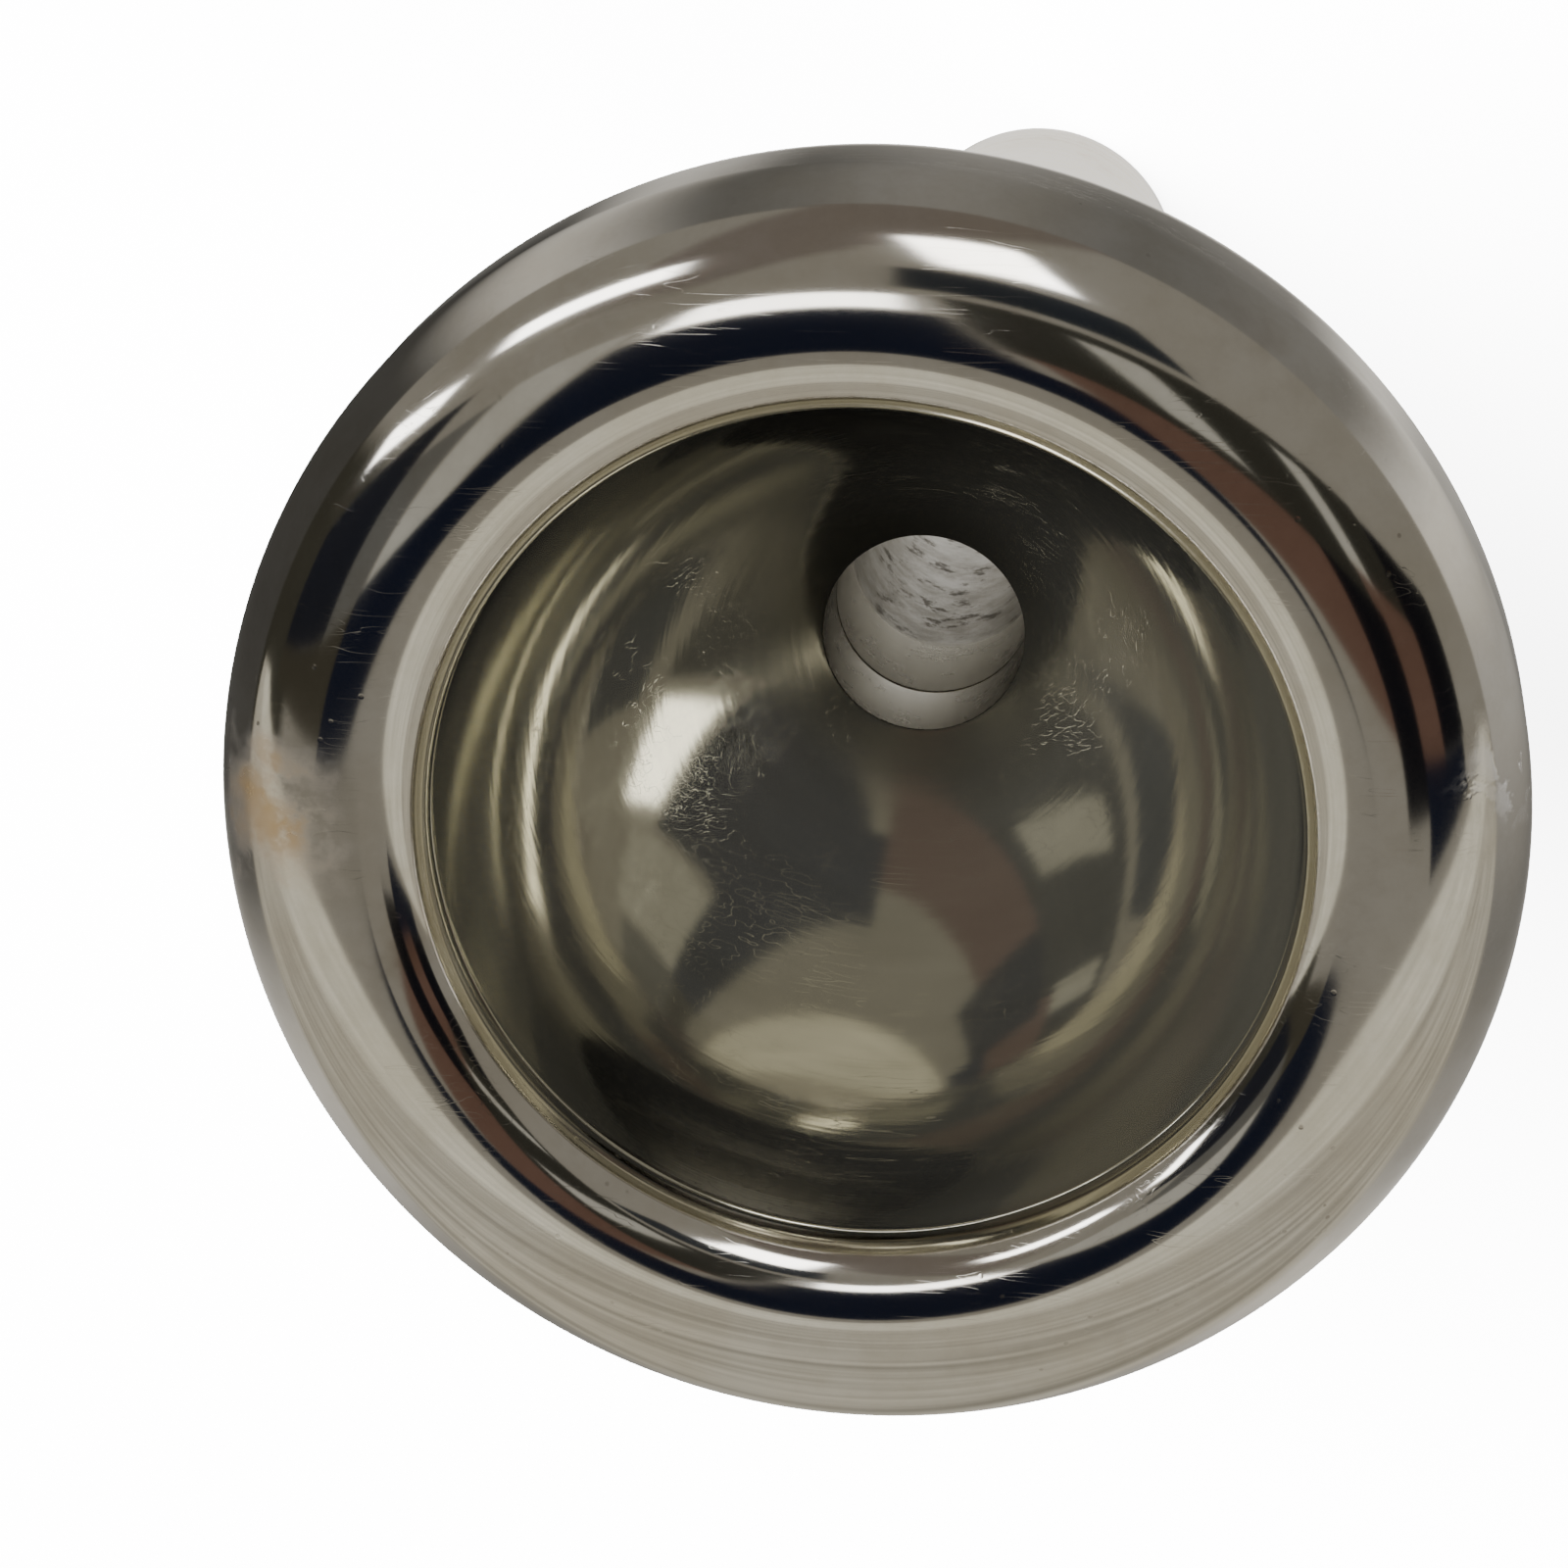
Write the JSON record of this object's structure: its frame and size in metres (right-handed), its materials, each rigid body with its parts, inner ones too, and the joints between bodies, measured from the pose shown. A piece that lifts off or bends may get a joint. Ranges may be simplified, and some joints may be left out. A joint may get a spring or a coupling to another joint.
{
  "type": "brass instrument mouthpiece",
  "caption": "Cup mouthpiece with a broad rounded rim, deep bowl, round throat and tapered shank; rim and cup unscrew.",
  "frame": {"origin": "centre of the shank's flat end face, which the mouthpiece stands on", "axes": "+Z along the bore from the shank end to the rim; X and Y lie in the plane of the rim"},
  "size_m": [0.0388, 0.0388, 0.083],
  "materials": {
    "rim_plating": "polished",
    "cup_plating": "polished",
    "shank_plating": "polished",
    "seal_rubber": "matte"
  },
  "bodies": {
    "shank": {"shank": "shank_plating"},
    "shank_seal": {"shank_seal": "seal_rubber"},
    "cup": {"cup": "cup_plating"},
    "rim_seal": {"rim_seal": "seal_rubber"},
    "rim": {"rim": "rim_plating"}
  },
  "joints": [
    {"name": "cup_lift", "type": "slide", "parent": "shank", "child": "shank_seal", "axis": [0, 0, 1], "range_m": [0, 0.003]},
    {"name": "cup_screw", "type": "hinge", "parent": "shank_seal", "child": "cup", "pos_m": [0, 0, 0.0525], "axis": [0, 0, 1], "range_deg": [0, 1080]},
    {"name": "rim_lift", "type": "slide", "parent": "cup", "child": "rim_seal", "axis": [0, 0, 1], "range_m": [0, 0.003]},
    {"name": "rim_screw", "type": "hinge", "parent": "rim_seal", "child": "rim", "pos_m": [0, 0, 0.078], "axis": [0, 0, 1], "range_deg": [0, 1080]}
  ],
  "couplings": [
    {"joint": "cup_screw", "follows": "cup_lift", "rad_per_m": 6283.2},
    {"joint": "rim_screw", "follows": "rim_lift", "rad_per_m": 6283.2}
  ]
}
